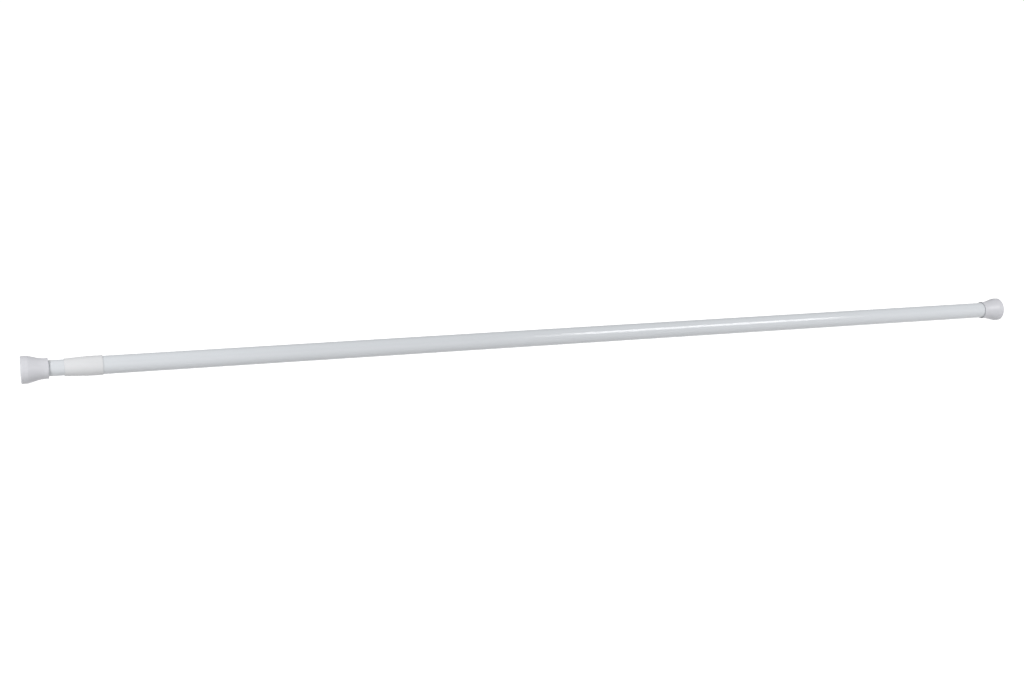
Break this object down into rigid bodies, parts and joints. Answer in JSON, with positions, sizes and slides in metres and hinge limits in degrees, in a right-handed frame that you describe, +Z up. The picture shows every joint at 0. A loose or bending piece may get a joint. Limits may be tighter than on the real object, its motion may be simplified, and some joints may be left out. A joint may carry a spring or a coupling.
{
  "type": "spring tension rod",
  "caption": "White telescoping tension rod that clamps between two walls: inner tube, tapered guide sleeve, long outer tube, flared soft feet, hidden twist lock and coil spring.",
  "frame": {"origin": "centre of the fixed foot's wall face", "axes": "+X along the rod, out of the fixed foot's wall face; the rod runs to -X; +Z up"},
  "size_m": [1.3812, 0.0324, 0.0324],
  "materials": {
    "white_enamel": "smooth glossy white enamel on steel tube",
    "sleeve_plastic": "moulded white plastic with a satin sheen",
    "foot_rubber": "soft matte white, faintly lavender",
    "plug_plastic": "plain moulded plastic",
    "lock_nylon": "natural nylon",
    "spindle_steel": "drawn bright steel",
    "spring_steel": "spring steel wire and strip",
    "drag_rubber": "black rubber"
  },
  "bodies": {
    "outer": {"outer_tube": "white_enamel", "guide_sleeve": "sleeve_plastic", "fixed_foot": "foot_rubber", "fixed_end_plug": "plug_plastic"},
    "lock": {"expander": "lock_nylon", "drag_ring": "drag_rubber"},
    "cone": {"cone_nut": "lock_nylon"},
    "spindle": {"spindle": "spindle_steel", "nut_clip": "spring_steel", "tail_clip": "spring_steel", "tail_washer": "spindle_steel", "tension_spring": "spring_steel"},
    "inner": {"inner_tube": "white_enamel", "spring_plug": "plug_plastic", "moving_end_plug": "plug_plastic", "moving_foot": "foot_rubber", "spring_washer": "spindle_steel"}
  },
  "joints": [
    {"name": "length_slide", "type": "slide", "parent": "outer", "child": "lock", "axis": [-1, 0, 0], "range_m": [0, 1.02]},
    {"name": "tube_twist", "type": "hinge", "parent": "lock", "child": "spindle", "pos_m": [-0.0637, 0, 0], "axis": [1, 0, 0], "range_deg": [0, 360]},
    {"name": "cone_draw", "type": "slide", "parent": "lock", "child": "cone", "axis": [-1, 0, 0], "range_m": [0, 0.003]},
    {"name": "spring_slide", "type": "slide", "parent": "spindle", "child": "inner", "axis": [1, 0, 0], "range_m": [0, 0.015], "stiffness_N_per_m": 4000, "springref_m": -0.005, "deforming": ["tension_spring"]}
  ],
  "couplings": [
    {"joint": "cone_draw", "follows": "tube_twist", "m_per_rad": 0.00047746}
  ]
}
